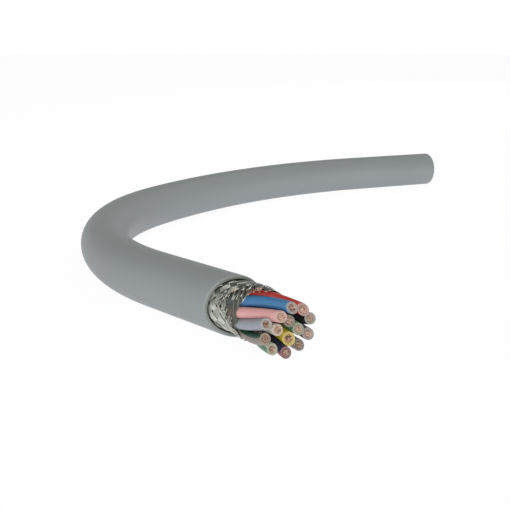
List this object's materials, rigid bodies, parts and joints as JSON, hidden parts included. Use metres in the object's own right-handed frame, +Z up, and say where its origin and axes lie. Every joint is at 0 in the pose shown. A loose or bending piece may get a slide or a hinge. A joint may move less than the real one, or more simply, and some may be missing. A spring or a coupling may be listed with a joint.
{
  "type": "shielded control cable",
  "caption": "Folded length of round grey multicore control cable with a stripped end that shows the braided shield, wrapping tape and colour-coded stranded cores.",
  "frame": {"origin": "middle of the box on the floor under the folded cable", "axes": "+Z up from the floor that the cable lies on, +Y the long way of the folded length, from the stripped end to the far leg"},
  "size_m": [0.1038, 0.153, 0.0108],
  "materials": {
    "jacket_grey": "satin grey PVC",
    "tinned_copper": "bright tinned copper wire",
    "clear_tape": "thin clear film",
    "bare_copper": "bare cut copper strands",
    "core_white": "satin PVC insulation",
    "core_brown": "satin PVC insulation",
    "core_green": "satin PVC insulation",
    "core_yellow": "satin PVC insulation",
    "core_grey": "satin PVC insulation",
    "core_pink": "satin PVC insulation",
    "core_blue": "satin PVC insulation",
    "core_red": "satin PVC insulation",
    "core_black": "satin PVC insulation",
    "core_violet": "satin PVC insulation",
    "core_grey_pink": "satin PVC insulation",
    "core_red_blue": "satin PVC insulation",
    "core_white_green": "satin PVC insulation",
    "core_brown_green": "satin PVC insulation"
  },
  "bodies": {
    "root": {"outer_jacket": "jacket_grey", "braided_shield": "tinned_copper", "wrapping_tape": "clear_tape", "insulation_white": "core_white", "insulation_brown": "core_brown", "insulation_green": "core_green", "insulation_yellow": "core_yellow", "insulation_grey": "core_grey", "insulation_pink": "core_pink", "insulation_blue": "core_blue", "insulation_red": "core_red", "insulation_black": "core_black", "insulation_violet": "core_violet", "insulation_grey_pink": "core_grey_pink", "insulation_red_blue": "core_red_blue", "insulation_white_green": "core_white_green", "insulation_brown_green": "core_brown_green", "conductor_white": "bare_copper", "conductor_brown": "bare_copper", "conductor_green": "bare_copper", "conductor_yellow": "bare_copper", "conductor_grey": "bare_copper", "conductor_pink": "bare_copper", "conductor_blue": "bare_copper", "conductor_red": "bare_copper", "conductor_black": "bare_copper", "conductor_violet": "bare_copper", "conductor_grey_pink": "bare_copper", "conductor_red_blue": "bare_copper", "conductor_white_green": "bare_copper", "conductor_brown_green": "bare_copper"}
  },
  "joints": []
}
